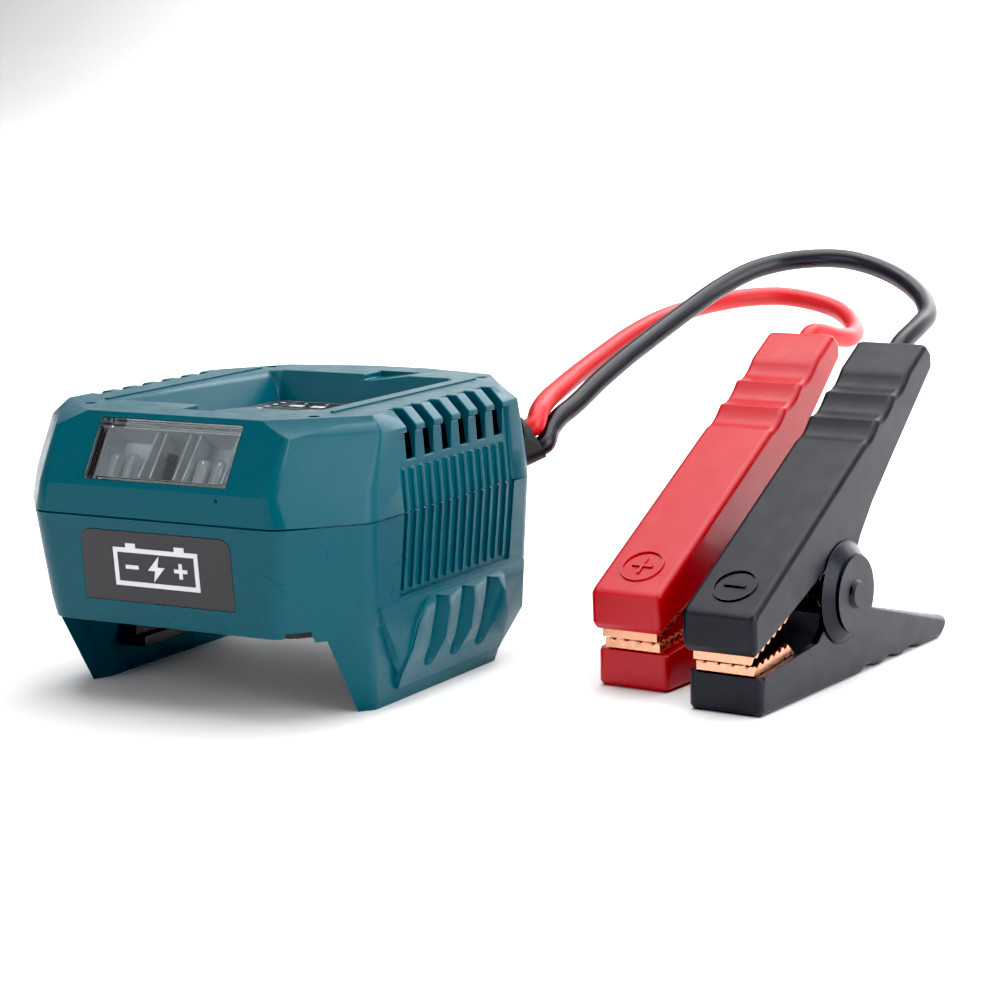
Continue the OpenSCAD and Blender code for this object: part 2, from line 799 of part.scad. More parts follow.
bump_pitch = 13;
lower_profile = concat(
    [[0, 1.2], [1.2, 0], [54, 0]],
    [for (b = [0:2]) each [
        for (k = [0:5]) [56 + (b + k / 6) * bump_pitch, 1.2 * sin(k * 36)]
    ]],
    [[97, 0], [106.5, 0], [110, 2.6], [110, 5.8], [58, 17.8], [54, 24], [36, 24], [34.5, 16.3],
     [31, 13.5], [2, 10.2], [0, 10.2]]
);
module lower_cover() {
    difference() {
        union() {
            across(-half_c, half_c) polygon(lower_profile);
            translate([-half_c, pivot_s, pivot_z]) rotate([0, 90, 0]) cylinder(r = arm_ear_r, h = clamp_w);
        }
        across(-half_c + cover_t, half_c - cover_t)
        polygon([[2, 2.4], [106, 3], [107.6, 4], [107.6, 30], [60, 40], [2, 40]]);
        translate([-20, pivot_s, pivot_z]) rotate([0, 90, 0]) cylinder(r = pin_r + 0.05, h = 40);
    }
}

// Copper jaws: a channel whose side walls and front carry the teeth
jaw_half = half_c - cover_t - 0.3;
jaw_t = 1;
tooth_pitch = 3;
jaw_len = 21;
function teeth(s0, s1, z0, z1, depth) = [
    for (i = [0:(s1 - s0) / tooth_pitch * 4])
        let (f = i * tooth_pitch / 4 / (s1 - s0))
        [s0 + f * (s1 - s0), z0 + f * (z1 - z0) - depth * (i % 4 < 2 ? 0 : 1)]
];
module lower_jaw() {
    intersection() {
        difference() {
            across(-jaw_half, jaw_half)
            polygon(concat([[2.2, 2.5], [jaw_len + 6, 2.7], [jaw_len + 6, 8]],
                [for (i = [24:-1:0]) teeth(0.4, 18.4, 12.9, 15.2, 0.8)[i]],
                [[0.4, 10.5], [2.2, 10.5]]));
            across(-jaw_half + jaw_t, jaw_half - jaw_t)
            polygon([[3.2, 3.5], [60, 3.5], [60, 40], [1.4, 40], [1.4, 11.5], [3.2, 11.5]]);
        }
        difference() {
            translate([-20, 0, 0]) cube([40, 60, 40]);
            // scallops across the front edge
            for (x = [-6:4:6])
                translate([x, 0, 13.3]) rotate([-90, 0, 0]) cylinder(r = 1, h = 4, $fn = 16);
        }
    }
}
module upper_jaw() {
    difference() {
        across(-jaw_half, jaw_half)
        polygon(concat([[-1.1, 13.6]], [[-1.1, 22]], [[jaw_len + 4, 33]], [[jaw_len + 6, 28]],
            [for (i = [24:-1:0]) teeth(-1.1, 19, 13.6, 21.6, -0.8)[i]]));
        across(-jaw_half + jaw_t, jaw_half - jaw_t)
        polygon([[-0.1, 0], [-0.1, 21.4], [60, 51], [60, 0]]);
    }
}

// Copper lug that joins the lead's end to the upper jaw, inside the arm
module lead_lug() {
    translate([0, lug_s, lug_line(lug_s)]) rotate([90 + arm_angle, 0, 0]) {
        cylinder(d = 6.4, h = lug_l);
        translate([-3, -1.2, lug_l - 1]) cube([6, 1.2, tang_l + 1]);
    }
}

pin_out = half_c + ear_gap + ear_t + disc_t;
module pivot_pin() {
    translate([0, pivot_s, pivot_z]) rotate([0, 90, 0]) {
        translate([0, 0, -pin_out]) cylinder(r = pin_r, h = 2 * pin_out);
        for (side = [0, 1])
            mirror([0, 0, side])
            translate([0, 0, pin_out]) cylinder(r1 = 3.9, r2 = 3.2, h = 1);
    }
}
module pivot_discs() {
    for (side = [0, 1])
        mirror([side, 0, 0])
        translate([half_c + ear_gap + ear_t, pivot_s, pivot_z]) rotate([0, 90, 0])
        difference() {
            cylinder(r = disc_r, h = disc_t);
            translate([0, 0, -1]) cylinder(r = pin_r, h = 4);
        }
}

// Torsion spring: coils round the pin, one leg up the upper arm and one along the lower arm
spring_wire = 1.8;
coil_r = 5.2;
module spring() {
    for (i = [-3:2])
        translate([(i + 0.5) * spring_wire, pivot_s, pivot_z])
        rotate([0, 90, 0])
        rotate_extrude()
        translate([coil_r, 0]) circle(d = spring_wire + 0.1, $fn = 16);
    spring_leg(4.5, 30, 1, 49);
    spring_leg(-4.5, 120, -1, 31);
}
// One straight end of the spring, tangent to the coil
module spring_leg(x, tilt, side, length) {
    translate([x, pivot_s + side * coil_r * cos(tilt), pivot_z - side * coil_r * sin(tilt)])
    rotate([-tilt, 0, 0])
    cylinder(d = spring_wire, h = length);
}

// Round polarity mark near the jaw, raised on the upper arm's top
module polarity_mark(positive) {
    translate([0, 6, top_line(6) - 0.3])
    rotate([arm_angle, 0, 0]) {
        difference() {
            cylinder(r = 6, h = 0.65);
            translate([0, 0, -1]) cylinder(r = 5.4, h = 3);
        }
        translate([-3, -0.4, 0]) cube([6, 0.8, 0.65]);
        if (positive)
            translate([-0.4, -3, 0]) cube([0.8, 6, 0.65]);
    }
}

module in_housing() { translate([housing_at[0], housing_at[1], 0]) children(); }
module at_black() { translate([black_at[0], black_at[1], 0]) rotate([0, 0, -clamp_yaw]) children(); }
module at_red() { translate([red_at[0], red_at[1], 0]) rotate([0, 0, -clamp_yaw]) children(); }

module red_upper_cover() { color(red) at_red() { upper_cover(); polarity_mark(true); } }
module red_lower_cover() { color(red) at_red() lower_cover(); }
module red_upper_jaw() { color(copper) at_red() upper_jaw(); }
module red_lower_jaw() { color(copper) at_red() lower_jaw(); }
module red_lead_lug() { color(copper) at_red() lead_lug(); }
module red_pivot_pin() { color(steel) at_red() pivot_pin(); }
module red_pivot_discs() { color(red) at_red() pivot_discs(); }
module red_spring() { color(steel) at_red() spring(); }
module black_upper_cover() { color(dark) at_black() { upper_cover(); polarity_mark(false); } }
module black_lower_cover() { color(dark) at_black() lower_cover(); }
module black_upper_jaw() { color(copper) at_black() upper_jaw(); }
module black_lower_jaw() { color(copper) at_black() lower_jaw(); }
module black_lead_lug() { color(copper) at_black() lead_lug(); }
module black_pivot_pin() { color(steel) at_black() pivot_pin(); }
module black_pivot_discs() { color(dark) at_black() pivot_discs(); }
module black_spring() { color(steel) at_black() spring(); }

in_housing() upper_shell();
in_housing() lower_shell();
in_housing() led_lens();
in_housing() led_reflector();
in_housing() led_board();
in_housing() work_leds();
in_housing() front_label();
in_housing() label_mark();
in_housing() control_panel();
in_housing() boost_button();
in_housing() lamp_button();
in_housing() level_leds();
in_housing() status_led();
in_housing() button_switches();
in_housing() main_board();
in_housing() power_relay();
in_housing() heat_sink();
in_housing() slide_plate();
in_housing() terminal_block();
in_housing() power_terminals();
in_housing() board_screws();
in_housing() plate_screws();
in_housing() housing_screws();
in_housing() rim_screws();
in_housing() cable_gland();
red_lead();
black_lead();
red_upper_cover();
red_lower_cover();
red_upper_jaw();
red_lower_jaw();
red_lead_lug();
red_pivot_pin();
red_pivot_discs();
red_spring();
black_upper_cover();
black_lower_cover();
black_upper_jaw();
black_lower_jaw();
black_lead_lug();
black_pivot_pin();
black_pivot_discs();
black_spring();
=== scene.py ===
"""Jump starter adapter with two battery clamps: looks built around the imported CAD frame.

Metres, +Z up. The housing's front faces -Y. Each clamp has a local frame: x across, y from the
jaw's tip to the handle, z up.
"""
import json
import math

import bmesh
import bpy
from mathutils import Matrix, Vector


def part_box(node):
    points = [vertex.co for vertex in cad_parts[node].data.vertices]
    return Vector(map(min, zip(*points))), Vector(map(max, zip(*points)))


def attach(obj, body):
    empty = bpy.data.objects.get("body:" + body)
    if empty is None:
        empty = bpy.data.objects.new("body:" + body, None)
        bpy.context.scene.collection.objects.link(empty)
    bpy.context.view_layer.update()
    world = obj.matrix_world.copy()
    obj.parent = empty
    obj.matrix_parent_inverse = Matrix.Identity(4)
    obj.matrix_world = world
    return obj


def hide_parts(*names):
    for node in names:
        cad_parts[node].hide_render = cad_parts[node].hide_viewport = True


MM = 0.001
# Pivot of a clamp in its own frame: distance behind the jaw's tip, and height
PIVOT_Y = 45
PIVOT_Z = 24

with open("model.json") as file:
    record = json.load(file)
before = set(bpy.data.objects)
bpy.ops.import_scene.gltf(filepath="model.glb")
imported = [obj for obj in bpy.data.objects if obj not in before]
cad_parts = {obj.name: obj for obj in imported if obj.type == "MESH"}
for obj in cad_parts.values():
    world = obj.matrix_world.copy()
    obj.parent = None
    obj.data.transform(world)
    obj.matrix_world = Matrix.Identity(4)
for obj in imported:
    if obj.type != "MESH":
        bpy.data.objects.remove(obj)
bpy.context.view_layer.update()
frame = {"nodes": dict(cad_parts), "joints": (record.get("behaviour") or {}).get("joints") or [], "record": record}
scene = bpy.context.scene

# ---------------------------------------------------------------- places
shell_low, shell_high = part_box("upper_shell")
housing = Vector(((shell_low.x + shell_high.x) / 2, (shell_low.y + shell_high.y) / 2, 0))
hinges = {j["name"]: j for j in frame["joints"] if j["type"] == "hinge"}


def clamp_matrix(name):
    """Local frame of a clamp, from its hinge."""
    joint = hinges[name + "_jaw_hinge"]
    x = Vector(joint["axis"]).normalized()
    z = Vector((0, 0, 1))
    y = z.cross(x)
    pivot = Vector(joint["pos_m"])
    origin = pivot - y * PIVOT_Y * MM
    origin.z = 0
    return Matrix(((x.x, y.x, z.x, origin.x), (x.y, y.y, z.y, origin.y),
                   (x.z, y.z, z.z, origin.z), (0, 0, 0, 1)))


CLAMP = {name: clamp_matrix(name) for name in ("red", "black")}
SLOPE = (Matrix.Translation(housing + Vector((0, -54.59, 67.4)) * MM)
         @ Matrix.Rotation(math.radians(58.7), 4, "X"))


# ---------------------------------------------------------------- material nodes
def rgb(r, g, b):
    """An sRGB colour in 0-255 steps, as a linear colour."""
    def lin(v):
        v /= 255
        return v / 12.92 if v <= 0.04045 else ((v + 0.055) / 1.055) ** 2.4
    return (lin(r), lin(g), lin(b), 1)


class Nodes:
    """Short names for building a node material."""

    def __init__(self, name):
        self.mat = bpy.data.materials.new(name)
        self.mat.use_nodes = True
        self.tree = self.mat.node_tree
        self.tree.nodes.clear()
        self.out = self.tree.nodes.new("ShaderNodeOutputMaterial")

    def put(self, socket, value):
        if value is None:
            return
        if isinstance(value, bpy.types.NodeSocket):
            self.tree.links.new(value, socket)
        else:
            socket.default_value = value

    def node(self, kind, **inputs):
        made = self.tree.nodes.new(kind)
        for name, value in inputs.items():
            self.put(made.inputs[name.replace("_", " ")], value)
        return made

    def coords(self):
        return self.node("ShaderNodeTexCoord").outputs["Object"]

    def noise(self, scale, detail=2.0, rough=0.5, vector=None):
        made = self.node("ShaderNodeTexNoise", Scale=scale, Detail=detail, Roughness=rough)
        self.put(made.inputs["Vector"], vector if vector is not None else self.coords())
        return made.outputs["Fac"]

    def span(self, value, low, high, to_low, to_high):
        made = self.node("ShaderNodeMapRange")
        made.clamp = True
        for socket, v in zip(("Value", "From Min", "From Max", "To Min", "To Max"),
                             (value, low, high, to_low, to_high)):
            self.put(made.inputs[socket], v)
        return made.outputs["Result"]

    def mix(self, factor, a, b, blend="MIX"):
        made = self.tree.nodes.new("ShaderNodeMix")
        made.data_type = "RGBA"
        made.blend_type = blend
        self.put(made.inputs[0], factor)
        self.put(made.inputs[6], a)
        self.put(made.inputs[7], b)
        return made.outputs[2]

    def math(self, operation, a, b=None):
        made = self.tree.nodes.new("ShaderNodeMath")
        made.operation = operation
        self.put(made.inputs[0], a)
        if b is not None:
            self.put(made.inputs[1], b)
        return made.outputs[0]

    def bump(self, height, distance, strength=1.0, under=None):
        made = self.node("ShaderNodeBump", Height=height, Distance=distance, Strength=strength)
        self.put(made.inputs["Normal"], under)
        return made.outputs["Normal"]

    def edges(self, radius):
        """1 along edges, 0 on flat surfaces: how far a rounded normal turns from the real one."""
        bevel = self.tree.nodes.new("ShaderNodeBevel")
        bevel.samples = 4
        self.put(bevel.inputs["Radius"], radius)
        geometry = self.tree.nodes.new("ShaderNodeNewGeometry")
        dot = self.tree.nodes.new("ShaderNodeVectorMath")
        dot.operation = "DOT_PRODUCT"
        self.put(dot.inputs[0], bevel.outputs[0])
        self.put(dot.inputs[1], geometry.outputs["Normal"])
        return self.span(dot.outputs["Value"], 0.99, 0.85, 0.0, 1.0)

    def surface(self, **inputs):
        shader = self.node("ShaderNodeBsdfPrincipled", **inputs)
        self.put(self.out.inputs["Surface"], shader.outputs[0])
        return self.mat


def moulded(name, color, rough=0.42, grain=0.35, depth=0.012, wear=0.25, tone=0.08, spec=0.5):
    """Moulded plastic: a spark-eroded grain, faint flow marks and slightly paler rubbed edges."""
    n = Nodes(name)
    fine = n.noise(1 / (grain * MM), 3.0, 0.6)
    flow = n.noise(28.0, 3.0, 0.55)
    smear = n.noise(140.0, 4.0, 0.6)
    darker = tuple(c * (1 - tone) for c in color[:3]) + (1,)
    lighter = tuple(min(1, c * (1 + tone)) for c in color[:3]) + (1,)
    body = n.mix(flow, darker, lighter)
    pale = tuple(c + (0.55 - c) * 0.35 for c in color[:3]) + (1,)
    rub = n.math("MULTIPLY", n.edges(0.35 * MM), n.span(smear, 0.42, 0.68, 0.0, wear))
    body = n.mix(rub, body, pale)
    roughness = n.math("ADD", n.span(smear, 0.3, 0.7, rough - 0.05, rough + 0.06),
                       n.span(fine, 0.3, 0.7, -0.03, 0.03))
    normal = n.bump(fine, depth * MM, 0.8)
    return n.surface(Base_Color=body, Roughness=roughness, Specular_IOR_Level=spec, Normal=normal)


def plated(name, color, rough=0.22, scratch=0.5, stain=0.25):
    """Plated or drawn metal with fine scratches and a slight stain."""
    n = Nodes(name)
    stretch = n.node("ShaderNodeMapping", Vector=n.coords())
    n.put(stretch.inputs["Scale"], (1.0, 0.08, 1.0))
    lines = n.noise(6000.0, 2.0, 0.7, stretch.outputs[0])
    cloud = n.noise(420.0, 4.0, 0.6)
    dark = tuple(c * 0.55 for c in color[:3]) + (1,)
    body = n.mix(n.span(cloud, 0.5, 0.75, 0.0, stain), color, dark)
    roughness = n.span(cloud, 0.3, 0.7, rough - 0.06, rough + 0.12)
    normal = n.bump(lines, 0.004 * MM, scratch)
    return n.surface(Base_Color=body, Metallic=1.0, Roughness=roughness, Normal=normal)


def cable_rubber(name, color, rough=0.38):
    """Extruded silicone rubber: fine matt skin with soft lengthwise variation."""
    n = Nodes(name)
    fine = n.noise(2600.0, 2.0, 0.5)
    cloud = n.noise(90.0, 3.0, 0.6)
    darker = tuple(c * 0.86 for c in color[:3]) + (1,)
    body = n.mix(cloud, darker, color)
    roughness = n.span(cloud, 0.3, 0.7, rough - 0.06, rough + 0.08)
    normal = n.bump(fine, 0.012 * MM, 0.6)
    return n.surface(Base_Color=body, Roughness=roughness, Normal=normal)


def clear_plastic(name, tint=(0.93, 0.95, 0.96, 1), rough=0.03, gloss=0.03):
    """Clear moulded plastic: see-through with a soft sheen that grows at grazing angles."""
    n = Nodes(name)
    clear = n.node("ShaderNodeBsdfTransparent", Color=tint)
    wave = n.noise(160.0, 2.0, 0.5)
    shine = n.node("ShaderNodeBsdfGlossy", Color=(1, 1, 1, 1),
                   Roughness=n.span(wave, 0.3, 0.7, rough, rough + 0.05))
    n.put(shine.inputs["Normal"], n.bump(wave, 0.05 * MM, 0.4))
    fresnel = n.node("ShaderNodeFresnel", IOR=1.45)
    blend = n.tree.nodes.new("ShaderNodeMixShader")
    n.put(blend.inputs[0], n.math("ADD", fresnel.outputs[0], gloss))
    n.put(blend.inputs[1], clear.outputs[0])
    n.put(blend.inputs[2], shine.outputs[0])
    n.put(n.out.inputs["Surface"], blend.outputs[0])
    return n.mat


def satin(name, color, rough=0.3, metal=0.6):
    """Metallised plastic: part mirror, part pale body, with a soft cloud in its gloss."""
    n = Nodes(name)
    cloud = n.noise(300.0, 3.0, 0.5)
    dark = tuple(c * 0.78 for c in color[:3]) + (1,)
    body = n.mix(n.span(cloud, 0.35, 0.7, 0.0, 0.6), color, dark)
    roughness = n.span(cloud, 0.3, 0.7, rough - 0.04, rough + 0.08)
    return n.surface(Base_Color=body, Metallic=metal, Roughness=roughness,
                     Normal=n.bump(cloud, 0.03 * MM, 0.3))


def glossy_print(name, color, rough=0.25):
    """Printed film or smooth plastic with a faint orange peel."""
    n = Nodes(name)
    peel = n.noise(900.0, 2.0, 0.5)
    cloud = n.noise(60.0, 3.0, 0.5)
    darker = tuple(c * 0.88 for c in color[:3]) + (1,)
    body = n.mix(cloud, darker, color)
    roughness = n.span(cloud, 0.3, 0.7, rough - 0.04, rough + 0.06)
    return n.surface(Base_Color=body, Roughness=roughness, Normal=n.bump(peel, 0.01 * MM, 0.5))


def circuit_board(name, color):
    """Solder-masked board: darker copper traces under a glossy mask."""
    n = Nodes(name)
    cells = n.node("ShaderNodeTexVoronoi", Scale=260.0, Vector=n.coords())
    cells.distance = "MANHATTAN"
    trace = n.span(cells.outputs["Distance"], 0.35, 0.4, 0.0, 1.0)
    pale = tuple(min(1, c * 1.5) for c in color[:3]) + (1,)
    body = n.mix(trace, color, pale)
    return n.surface(Base_Color=body, Roughness=0.35, Normal=n.bump(trace, 0.03 * MM, 0.5))


TEAL = moulded("teal_plastic", rgb(5, 80, 94), rough=0.33, wear=0.16, spec=0.26)
TEAL_LOW = moulded("teal_plastic_lower", rgb(6, 78, 92), rough=0.32, wear=0.14, spec=0.26)
RED = moulded("red_plastic", rgb(184, 14, 28), rough=0.34, wear=0.12, spec=0.45)
BLACK = moulded("black_plastic", rgb(14, 16, 28), rough=0.36, wear=0.2, grain=0.3, spec=0.32)
BAY_BLACK = moulded("bay_plastic", rgb(18, 19, 21), rough=0.45, wear=0.1)
BOOT = moulded("gland_rubber", rgb(16, 17, 20), rough=0.5, wear=0.05, grain=0.5)
RED_LEAD = cable_rubber("red_silicone", rgb(214, 30, 38))
BLACK_LEAD = cable_rubber("black_silicone", rgb(22, 24, 34), rough=0.32)
COPPER = plated("copper_plate", rgb(238, 172, 140), rough=0.24)
STEEL = plated("zinc_plate", rgb(150, 152, 158), rough=0.3)
DARK_STEEL = plated("black_oxide", rgb(44, 45, 48), rough=0.28)
SCREW = plated("screw_steel", rgb(70, 82, 92), rough=0.34)
MIRROR = satin("metallised", rgb(222, 229, 234), rough=0.32, metal=0.25)
CHROME = satin("bright_reflector", rgb(238, 243, 246), rough=0.14, metal=0.5)
ALU = plated("aluminium", rgb(186, 188, 192), rough=0.32)
LENS = clear_plastic("clear_lens")
OPTIC = satin("clear_optic", rgb(234, 240, 243), rough=0.12, metal=0.1)
LED = glossy_print("led_phosphor", rgb(236, 214, 120), rough=0.3)
LIGHT_PIPE = glossy_print("light_window", rgb(226, 230, 234), rough=0.25)
RED_LIGHT = glossy_print("red_window", rgb(186, 26, 32), rough=0.2)
LABEL = glossy_print("label_film", rgb(42, 41, 46), rough=0.36)
PANEL = glossy_print("panel_film", rgb(44, 44, 50), rough=0.3)
WHITE = glossy_print("white_print", rgb(226, 228, 230), rough=0.4)
GREY = glossy_print("grey_print", rgb(128, 130, 136), rough=0.4)
BUTTON_RED = glossy_print("button_red", rgb(168, 24, 30), rough=0.28)
BUTTON_GREY = glossy_print("button_grey", rgb(120, 123, 128), rough=0.32)
BOARD = circuit_board("solder_mask", rgb(20, 84, 50))
RELAY = moulded("relay_case", rgb(34, 62, 120), rough=0.4)


# ---------------------------------------------------------------- shaping
def clean_copy(node):
    """A mesh copy of a CAD node with its flat faces merged."""
    mesh = frame["nodes"][node].data.copy()
    bm = bmesh.new()
    bm.from_mesh(mesh)
    bmesh.ops.remove_doubles(bm, verts=bm.verts, dist=0.004 * MM)
    bmesh.ops.dissolve_limit(bm, angle_limit=math.radians(0.6), verts=bm.verts, edges=bm.edges)
    bm.to_mesh(mesh)
    bm.free()
    return mesh


def baked(obj):
    """Applies the object's modifiers to its mesh."""
    graph = bpy.context.evaluated_depsgraph_get()
    mesh = bpy.data.meshes.new_from_object(obj.evaluated_get(graph))
    obj.modifiers.clear()
    obj.data = mesh
    return mesh


def smooth(mesh, angle=32):
    mesh.polygons.foreach_set("use_smooth", [True] * len(mesh.polygons))
    mesh.set_sharp_from_angle(angle=math.radians(angle))


def place(name, mesh, body, material, replaces=()):
    """A new piece that rides on a body, with one material."""
    obj = bpy.data.objects.new(name, mesh)
    scene.collection.objects.link(obj)
    mesh.materials.clear()
    mesh.materials.append(material)
    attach(obj, body)
    if replaces:
        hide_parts(*replaces)
    return obj


def body_of(node):
    return next(b for b, nodes in frame["record"]["behaviour"]["bodies"].items() if node in nodes)


def reach_across(face, edge):
    """How far a face reaches away from one of its edges."""
    start = edge.verts[0].co
    along = (edge.verts[1].co - start).normalized()
    return max(((v.co - start) - along * (v.co - start).dot(along)).length for v in face.verts)


def round_edges(mesh, width, segments, angle, wanted=None):
    """Rounds the edges that have room for it: long enough, between faces that are wide enough.
    Edges picked by wanted(edge) may be short, since they run on from one another."""
    bm = bmesh.new()
    bm.from_mesh(mesh)
    bm.normal_update()
    picked = []
    for e in bm.edges:
        if len(e.link_faces) != 2 or e.calc_face_angle(0) < math.radians(angle):
            continue
        if wanted and not wanted(e):
            continue
        if not wanted and e.calc_length() < 2.5 * width:
            continue
        if min(reach_across(f, e) for f in e.link_faces) > 1.5 * width:
            picked.append(e)
    chosen = set(picked)
    roomy = [e for e in picked if wanted or all(o in chosen or o.calc_length() > 1.2 * width
                                                for v in e.verts for o in v.link_edges)]
    if roomy:
        bmesh.ops.bevel(bm, geom=roomy, offset=width, offset_type="OFFSET", segments=segments,
                        profile=0.5, affect="EDGES", clamp_overlap=False)
    bm.to_mesh(mesh)
    bm.free()


# Edges that turn by more than this are rounded; the picked wide ones may turn by less
ROUND_ANGLE = 24
WIDE_ANGLE = 20
WIDE_MM = 1.8


def softened(node, material, width=0.35, segments=2, wide=None):
    """A copy of a CAD node with its edges rounded, standing for that node.
    wide(edge) picks the edges that get the larger radius first. Width 0 leaves the rest sharp."""
    mesh = clean_copy(node)
    obj = place(node + "_form", mesh, body_of(node), material, [node])
    if wide:
        round_edges(mesh, WIDE_MM * MM, 4, WIDE_ANGLE, wide)
    if width:
        round_edges(mesh, width * MM, segments, ROUND_ANGLE)
    smooth(obj.data)
    even = obj.modifiers.new("even_shading", "WEIGHTED_NORMAL")
    even.keep_sharp = True
    even.weight = 80
    baked(obj)
    obj.data.materials.clear()
    obj.data.materials.append(material)
    return obj


def tube(points, radius, sides=24):
    """A round tube mesh along points; radius is one number or one for each point."""
    bm = bmesh.new()
    radii = radius if isinstance(radius, (list, tuple)) else [radius] * len(points)
    rings = []
    up = None
    for i, p in enumerate(points):
        along = (points[min(i + 1, len(points) - 1)] - points[max(i - 1, 0)]).normalized()
        if up is None:
            up = along.cross(Vector((0, 0, 1)) if abs(along.z) < 0.9 else Vector((1, 0, 0)))
        up = (up - along * up.dot(along)).normalized()
        side = along.cross(up)
        rings.append([bm.verts.new(p + (up * math.cos(a) + side * math.sin(a)) * radii[i])
                      for a in (2 * math.pi * k / sides for k in range(sides))])
    for a, b in zip(rings, rings[1:]):
        for k in range(sides):
            bm.faces.new((a[k], a[(k + 1) % sides], b[(k + 1) % sides], b[k]))
    bm.faces.new(list(reversed(rings[0])))
    bm.faces.new(rings[-1])
    bmesh.ops.recalc_face_normals(bm, faces=bm.faces)
    mesh = bpy.data.meshes.new("tube")
    bm.to_mesh(mesh)
    bm.free()
    smooth(mesh, 50)
    return mesh


def curve_through(points, per=8):
    """A smooth line through points: a centripetal Catmull-Rom spline."""
    pts = [2 * points[0] - points[1]] + list(points) + [2 * points[-1] - points[-2]]
    out = []
    for i in range(1, len(pts) - 2):
        p0, p1, p2, p3 = pts[i - 1:i + 3]
        t = [0.0]
        for a, b in ((p0, p1), (p1, p2), (p2, p3)):
            t.append(t[-1] + max((b - a).length, 1e-7) ** 0.5)
        for k in range(per):
            u = t[1] + (t[2] - t[1]) * k / per
            a1 = p0.lerp(p1, (u - t[0]) / (t[1] - t[0]))
            a2 = p1.lerp(p2, (u - t[1]) / (t[2] - t[1]))
            a3 = p2.lerp(p3, (u - t[2]) / (t[3] - t[2]))
            b1 = a1.lerp(a2, (u - t[0]) / (t[2] - t[0]))
            b2 = a2.lerp(a3, (u - t[1]) / (t[3] - t[1]))
            out.append(b1.lerp(b2, (u - t[1]) / (t[2] - t[1])))
    out.append(points[-1].copy())
    return out


def plate(outline, thickness, matrix):
    """A flat plate from an outline in millimetres, lying on the matrix's xy plane."""
    bm = bmesh.new()
    low = [bm.verts.new((x * MM, y * MM, 0)) for x, y in outline]
    bm.faces.new(low)
    made = bmesh.ops.extrude_face_region(bm, geom=list(bm.faces))
    top = [v for v in made["geom"] if isinstance(v, bmesh.types.BMVert)]
    bmesh.ops.translate(bm, verts=top, vec=(0, 0, thickness * MM))
    bmesh.ops.recalc_face_normals(bm, faces=bm.faces)
    bmesh.ops.transform(bm, matrix=matrix, verts=bm.verts)
    mesh = bpy.data.meshes.new("plate")
    bm.to_mesh(mesh)
    bm.free()
    smooth(mesh, 35)
    return mesh


def joined(meshes, name):
    """One mesh holding several."""
    bm = bmesh.new()
    for m in meshes:
        bm.from_mesh(m)
    mesh = bpy.data.meshes.new(name)
    bm.to_mesh(mesh)
    bm.free()
    smooth(mesh, 35)
    return mesh


def moved(outline, dx, dy):
    return [(x + dx, y + dy) for x, y in outline]


# ---------------------------------------------------------------- housing
softened("upper_shell", TEAL, width=0.4, segments=2)
softened("lower_shell", TEAL_LOW, width=0)
softened("slide_plate", BAY_BLACK, width=0.3)
softened("terminal_block", BAY_BLACK, width=0.25)
softened("power_terminals", COPPER, width=0.12)
softened("plate_screws", SCREW, width=0.12)
softened("housing_screws", SCREW, width=0.12)
softened("rim_screws", SCREW, width=0.08)
softened("main_board", BOARD, width=0.1)
softened("board_screws", STEEL, width=0.12)
softened("power_relay", RELAY, width=0.5)
softened("heat_sink", ALU, width=0.2)
softened("button_switches", STEEL, width=0.2)
softened("control_panel", PANEL, width=0.15)
softened("boost_button", BUTTON_RED, width=0.35, segments=3)
softened("lamp_button", BUTTON_GREY, width=0.35, segments=3)
softened("level_leds", LIGHT_PIPE, width=0.12)
softened("status_led", RED_LIGHT, width=0.12)
softened("front_label", LABEL, width=0.12)
softened("label_mark", WHITE, width=0)
softened("cable_gland", BOOT, width=0.4, segments=3)
softened("led_lens", LENS, width=0.25)
softened("led_board", BOARD, width=0.1)
softened("work_leds", LED, width=0.15)

# ---------------------------------------------------------------- clamps
# Half a cover's width, how near to a side face counts as on it, and the pivot's clear radius
COVER_HALF = 10.5
SIDE_SLACK = 0.05
PIVOT_CLEAR = 15

for name, plastic in (("red", RED), ("black", BLACK)):
    local = CLAMP[name].inverted()

    def long_outer(edge, local=local):
        """Edges that join points on the cover's two side faces, except those round the pivot."""
        ends = [local @ v.co for v in edge.verts]
        on_side = all(abs(abs(m.x) - COVER_HALF * MM) < SIDE_SLACK * MM for m in ends)
        at_pivot = all((m - Vector((m.x, PIVOT_Y * MM, PIVOT_Z * MM))).length < PIVOT_CLEAR * MM
                       for m in ends)
        return on_side and not at_pivot

    softened(name + "_upper_cover", plastic, width=0.35, segments=3, wide=long_outer)
    softened(name + "_lower_cover", plastic, width=0.35, segments=3, wide=long_outer)
    softened(name + "_upper_jaw", COPPER, width=0.1)
    softened(name + "_lower_jaw", COPPER, width=0.1)
    softened(name + "_lead_lug", COPPER, width=0.2)
    softened(name + "_pivot_pin", BLACK if name == "black" else RED, width=0.35, segments=3)
    softened(name + "_pivot_discs", plastic, width=0.3, segments=3)
    softened(name + "_spring", DARK_STEEL, width=0)

# ---------------------------------------------------------------- work light inside
# In the slope's frame: x to the right, y up the slope, z out of it; all in millimetres
TRAY = (20.1, 6.7, -10, -2.2)
CELL_FLOOR = -8.6


def on_slope(x, y, z):
    return SLOPE @ (Vector((x, y, z)) * MM)


